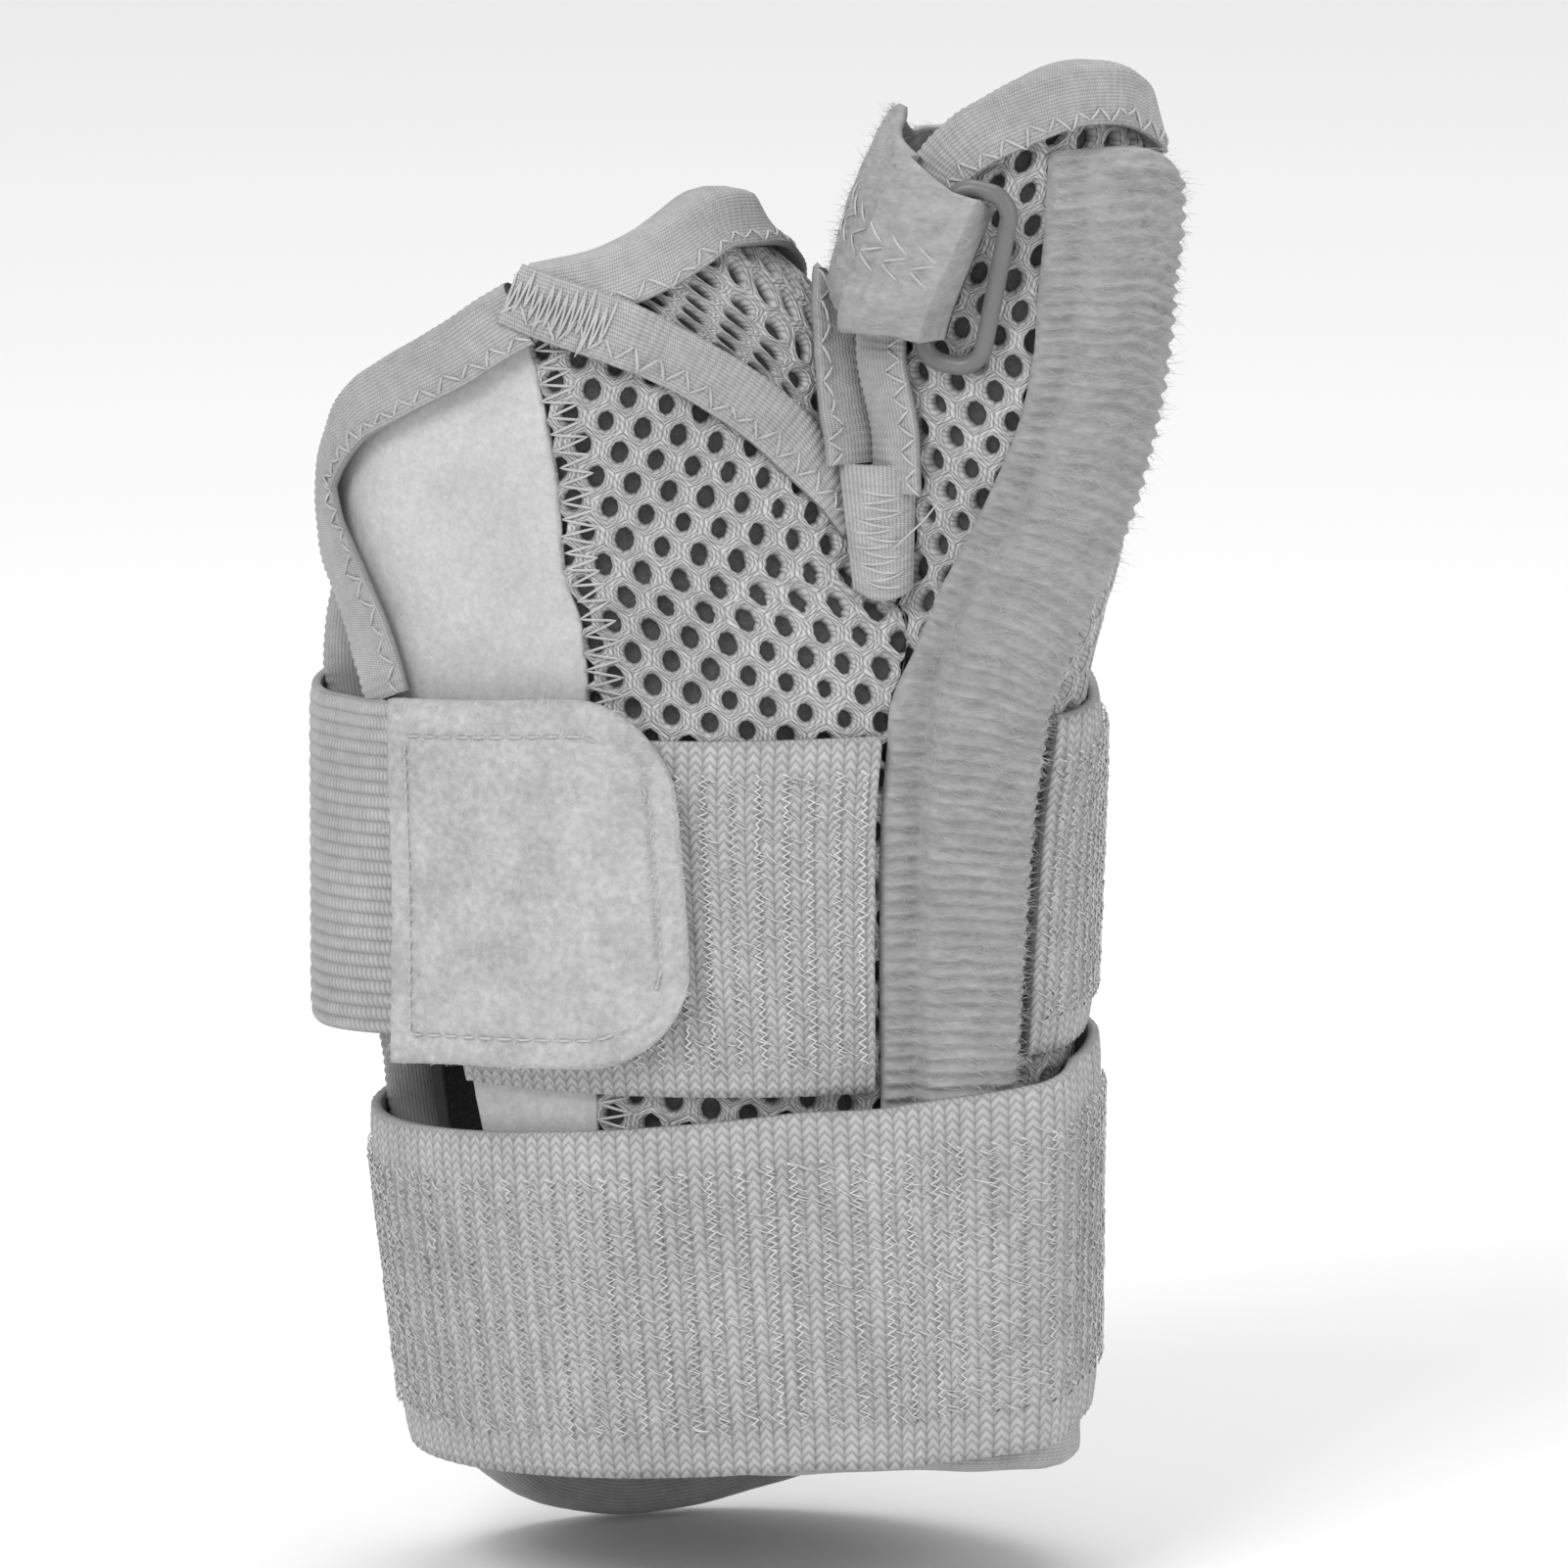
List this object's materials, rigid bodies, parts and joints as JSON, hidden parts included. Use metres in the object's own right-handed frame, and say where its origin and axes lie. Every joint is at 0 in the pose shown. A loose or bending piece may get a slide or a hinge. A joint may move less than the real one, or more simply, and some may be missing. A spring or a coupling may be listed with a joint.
{
  "type": "thumb wrist brace",
  "caption": "Breathable thumb and wrist brace, shown closed as worn: spacer mesh sleeve, padded thumb stay, thumb strap with a plastic ring, and hook-and-loop wrist and forearm straps.",
  "frame": {"origin": "middle of the forearm opening, on the wrist's line, level with the bottom of the front hem's strap band", "axes": "+Z from the forearm towards the fingers, -Y out of the front that is seen, +X towards the thumb"},
  "size_m": [0.108, 0.0728, 0.1942],
  "materials": {
    "spacer_mesh": "open honeycomb spacer knit, matt",
    "velvet": "short brushed pile",
    "binding": "ribbed knit tape",
    "elastic": "woven elastic with a loop pile face",
    "webbing": "ribbed narrow webbing",
    "felt": "brushed felt",
    "plush": "long brushed pile",
    "plastic": "moulded, satin"
  },
  "bodies": {
    "root": {"closure_panel": "velvet", "front_panel": "spacer_mesh", "thumb_panel": "spacer_mesh", "back_panel": "spacer_mesh", "web_gusset": "spacer_mesh", "closure_binding": "binding", "seam_binding": "binding", "gusset_binding": "binding", "web_binding": "binding", "thumb_binding": "binding", "hem_binding": "binding", "back_binding": "binding", "stay_sleeve": "plush", "front_band": "elastic", "wrist_strap": "elastic", "strap_webbing": "webbing", "strap_tab": "felt", "forearm_strap": "elastic", "thumb_strap": "plush", "thumb_ring": "plastic"}
  },
  "joints": []
}
